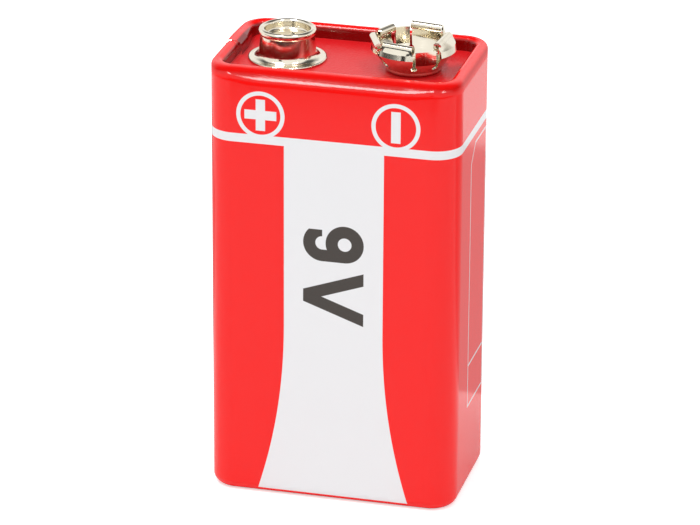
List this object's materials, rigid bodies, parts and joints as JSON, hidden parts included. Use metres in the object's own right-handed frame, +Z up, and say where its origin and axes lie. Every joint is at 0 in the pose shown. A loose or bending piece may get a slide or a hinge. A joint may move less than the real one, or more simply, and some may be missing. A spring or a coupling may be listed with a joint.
{
  "type": "nine volt battery",
  "caption": "Rectangular nine volt battery: lacquered steel jacket with a curled rim, snap stud and crown snap socket on a recessed board.",
  "frame": {"origin": "middle of the jacket's foot, on the surface that the battery stands on", "axes": "+X from the stud to the socket across the front, +Y from the front to the back, +Z up through the terminals"},
  "size_m": [0.0256, 0.0158, 0.0481],
  "materials": {
    "red_lacquer": "gloss red and white lacquer on tinplate",
    "red_board": "red moulded board, fine grain, half gloss",
    "base_board": "black moulded board",
    "card": "brown card",
    "nickel": "bright nickel plate on steel",
    "tinned_strip": "tinned steel strip",
    "clear_film": "thin clear shrink film",
    "zinc": "dull rolled zinc, carbon coated below",
    "separator_paper": "starch coated kraft paper",
    "cathode_mix": "pressed black manganese dioxide and carbon mix"
  },
  "bodies": {
    "root": {"steel_jacket": "red_lacquer", "terminal_board": "red_board", "base_board": "base_board", "card_liner": "card", "positive_stud": "nickel", "positive_rivet": "nickel", "positive_contact": "tinned_strip", "negative_socket": "nickel", "negative_rivet": "nickel", "negative_lead": "tinned_strip", "negative_collector": "tinned_strip", "pile_wrap": "clear_film", "top_pad": "card", "zinc_plate_1": "zinc", "separator_tray_1": "separator_paper", "cathode_cake_1": "cathode_mix", "cell_film_1": "clear_film", "zinc_plate_2": "zinc", "separator_tray_2": "separator_paper", "cathode_cake_2": "cathode_mix", "cell_film_2": "clear_film", "zinc_plate_3": "zinc", "separator_tray_3": "separator_paper", "cathode_cake_3": "cathode_mix", "cell_film_3": "clear_film", "zinc_plate_4": "zinc", "separator_tray_4": "separator_paper", "cathode_cake_4": "cathode_mix", "cell_film_4": "clear_film", "zinc_plate_5": "zinc", "separator_tray_5": "separator_paper", "cathode_cake_5": "cathode_mix", "cell_film_5": "clear_film", "zinc_plate_6": "zinc", "separator_tray_6": "separator_paper", "cathode_cake_6": "cathode_mix", "cell_film_6": "clear_film"}
  },
  "joints": []
}
